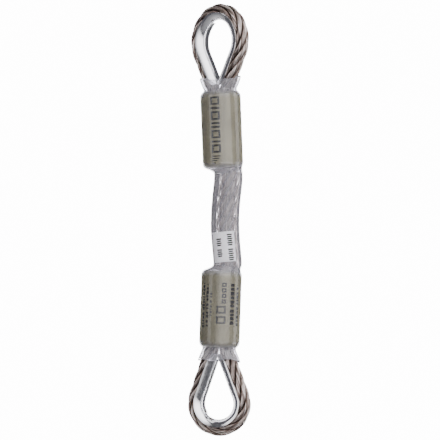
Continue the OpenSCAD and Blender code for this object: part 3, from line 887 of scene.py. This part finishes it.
# ------------------------------------------------------------------ label under the sleeve, with plain bars
def label():
    t = (s_at_z(-94.25) - UP_LEN) / SPAN
    c, nrm, _ = span_sec(t, UO, UV, 1.0)
    g = on_rope(UP_LEN + t * SPAN)[1]
    axis = -g
    Y = np.cross(axis, nrm)
    r_out, half = 6.28, math.degrees(10.4 / 6.2 / 2)
    n, m = 44, 30
    verts = []
    for j in range(m + 1):
        z = -6.3 + 12.6 * j / m
        # the slip follows the sleeve's own curve
        cz = span_sec((s_at_z(c[2] + z) - UP_LEN) / SPAN, UO, UV, 1.0)[0]
        for i in range(n + 1):
            th = math.radians(-82 - half + 2 * half * i / n)
            r = r_out + 0.03 * math.sin(3 * th + z * 0.5) - 0.03
            verts.append(cz + r * (math.cos(th) * nrm + math.sin(th) * Y))
    off = len(verts)
    verts += [v - 0.14 * unit(np.cross(np.cross(axis, v - c), axis)) for v in verts]
    faces = []
    w = n + 1
    for j in range(m):
        for i in range(n):
            a = j * w + i
            faces.append((a, a + 1, a + w + 1, a + w))
            faces.append((off + a + w, off + a + w + 1, off + a + 1, off + a))
    edge = [i for i in range(n)] + [j * w + n for j in range(m)] + [m * w + n - i for i in range(n)] + [(m - j) * w for j in range(m)]
    for q in range(len(edge)):
        a, b = edge[q], edge[(q + 1) % len(edge)]
        faces.append((b, a, off + a, off + b))
    o = make_mesh("slip_label", verts, faces, True, M_LAB, None, True)
    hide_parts("label")
    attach(o, "lower_end")
    # plain bars in two columns: short blocks read downwards
    rows_ = []
    r = 6.30

    def bar(x0, x1, z0, z1):
        W = Y
        a0, a1 = facing(x0, r, nrm, W), facing(x1, r, nrm, W)
        rows_.append((min(a0, a1), max(a0, a1), z0, z1))

    for x0, x1, tops in ((-3.9, -1.9, (3.6, 1.9, -0.9, -2.6)), (0.6, 2.8, (5.2, 3.5, 1.8, -1.0, -2.7, -4.4))):
        for z1 in tops:
            bar(x0, x1, z1 - 0.55, z1)
            bar(x0 + 0.2, x1 - 0.2, z1 - 1.4, z1 - 0.85)
    verts2, faces2 = [], []
    for th0, th1, z0, z1 in rows_:
        patch(verts2, faces2, c, nrm, axis, Y, r, th0, th1, z0, z1, 0.02)
    q = make_mesh("label_bars", verts2, faces2, False, M_INK, None, True)
    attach(q, "lower_end")


label()

# ------------------------------------------------------------------ studio
def plain(name, color, rough=0.9, emit=0.0):
    m, nt, p = new_mat(name)
    vec = coords(nt, (1, 1, 1))
    lo = tuple(v * 0.985 for v in color)
    c = ramp(nt, noise(nt, vec, 3, 2, 0.5), [(0.3, lo), (0.7, color)])
    nt.links.new(c.outputs["Color"], p.inputs["Base Color"])
    p.inputs["Roughness"].default_value = rough
    p.inputs["Specular IOR Level"].default_value = 0.1
    if emit:
        p.inputs["Emission Color"].default_value = (1, 1, 1, 1)
        p.inputs["Emission Strength"].default_value = emit
    return m


def quad(name, pts, mat):
    o = make_mesh(name, np.array(pts) * 1000.0, [tuple(range(len(pts)))], False, mat)
    return o


cam_dir = Vector((SIN(28), -COS(28), 0))
right = Vector((COS(28), SIN(28), 0))
up = Vector((0, 0, 1))
centre = Vector((0, 0, -0.083))

# a pale floor, a bright wall well behind, and a pale surround seen only beyond them
FLOOR_Z = -2.20
quad("floor", [tuple(Vector((x, y, FLOOR_Z))) for x, y in ((-4, -4), (4, -4), (4, 4), (-4, 4))], plain("pale_floor", (0.60, 0.60, 0.61), 0.95))
wall_c = centre - cam_dir * 3.2
quad("wall", [tuple(wall_c + right * a + Vector((0, 0, b))) for a, b in ((-1.4, FLOOR_Z - centre.z), (1.4, FLOOR_Z - centre.z), (1.4, 1.2), (-1.4, 1.2))],
     plain("pale_wall", (0.9, 0.9, 0.9), 0.95, 14.0))
SUR = 5.5
ring = [(SUR * COS(i * 15), SUR * SIN(i * 15)) for i in range(24)]
vs = [(x, y, z) for z in (-2.3, 4.0) for x, y in ring] + [(0, 0, 4.5)]
fs = [(i, (i + 1) % 24, 24 + (i + 1) % 24, 24 + i) for i in range(24)] + [(24 + i, 24 + (i + 1) % 24, 48) for i in range(24)]
surround = make_mesh("surround", np.array(vs) * 1000.0, fs, False, plain("pale_surround", (0.9, 0.9, 0.9), 0.95, 2.2))
surround.visible_diffuse = surround.visible_glossy = surround.visible_transmission = surround.visible_shadow = False


def area(name, loc, target, size, power, color=(1, 1, 1), size_y=None):
    l = bpy.data.lights.new(name, "AREA")
    l.energy, l.color, l.size = power, color, size
    if size_y:
        l.shape, l.size_y = "RECTANGLE", size_y
    o = bpy.data.objects.new(name, l)
    o.location = loc
    o.rotation_euler = (Vector(target) - Vector(loc)).to_track_quat("-Z", "Y").to_euler()
    bpy.context.scene.collection.objects.link(o)


def at(bearing, height, dist):
    """a place at a bearing from the camera's side of the object, clockwise seen from above is to the right"""
    return centre + (cam_dir * COS(bearing) + right * SIN(bearing)) * dist + up * height


def softbox(name, bearing, dist, half, z0, z1, strength, fade):
    """a large soft panel facing the object, fading out toward its left side"""
    mid = centre + (cam_dir * COS(bearing) + right * SIN(bearing)) * dist
    across = right * COS(bearing) - cam_dir * SIN(bearing)
    n, m = 40, 12
    vs_, glow = [], []
    for j in range(m + 1):
        for i in range(n + 1):
            a, b = i / n, j / m
            vs_.append(tuple((mid + across * half * (2 * a - 1) + up * (z0 + (z1 - z0) * b)) * 1000.0))
            f, g, h = (max(0.0, min(1.0, t)) for t in (a / fade, (1 - a) / 0.12, min(b, 1 - b) / 0.15))
            glow.append((f * f * (3 - 2 * f)) * (g * g * (3 - 2 * g)) * (0.25 + 0.75 * h * h * (3 - 2 * h)))
    fs_ = [(j * (n + 1) + i, j * (n + 1) + i + 1, (j + 1) * (n + 1) + i + 1, (j + 1) * (n + 1) + i) for j in range(m) for i in range(n)]
    mat, nt, p = new_mat(name + "_panel")
    g = nt.nodes.new("ShaderNodeAttribute"); g.attribute_name = "glow"
    k = nt.nodes.new("ShaderNodeMath"); k.operation = "MULTIPLY"
    k.inputs[1].default_value = strength
    nt.links.new(g.outputs["Fac"], k.inputs[0])
    nt.links.new(k.outputs[0], p.inputs["Emission Strength"])
    p.inputs["Emission Color"].default_value = (0.99, 0.98, 1.0, 1)
    p.inputs["Base Color"].default_value = (0, 0, 0, 1)
    p.inputs["Specular IOR Level"].default_value = 0.0
    o = make_mesh(name, vs_, fs_, False, mat, {"glow": glow})
    o.visible_camera = False


softbox("broad", 13, 1.25, 1.35, -0.40, 1.9, 3.9, 0.5)
area("fill", at(-62, 0.2, 1.6), centre, 0.6, 5.5, (1.0, 0.99, 0.98), 1.4)
area("side", at(97, 0.10, 1.0), centre, 0.45, 5.0, (1.0, 0.99, 1.0), 1.3)
area("top", centre + up * 1.3 + cam_dir * 0.3, centre, 0.7, 2.6, (1, 1, 1), 0.6)


w = bpy.data.worlds.new("studio")
w.use_nodes = True
bg = w.node_tree.nodes["Background"]
bg.inputs["Color"].default_value = (0.90, 0.90, 1.0, 1)
bg.inputs["Strength"].default_value = 0.12
bpy.context.scene.world = w

cam = bpy.data.cameras.new("camera")
cam.sensor_width = 36
DIST = 2.4
FIELD = 440 * 0.416 * MM
cam.lens = 36 * DIST / FIELD
cam.clip_end = 20
co = bpy.data.objects.new("camera", cam)
aim = Vector((0, 0, 7 * MM - (219.75 - 3.2) * 0.416 * MM)) + right * (-0.2 * MM)
co.location = aim + cam_dir * DIST
co.rotation_euler = (aim - co.location).to_track_quat("-Z", "Y").to_euler()
bpy.context.scene.collection.objects.link(co)
bpy.context.scene.camera = co
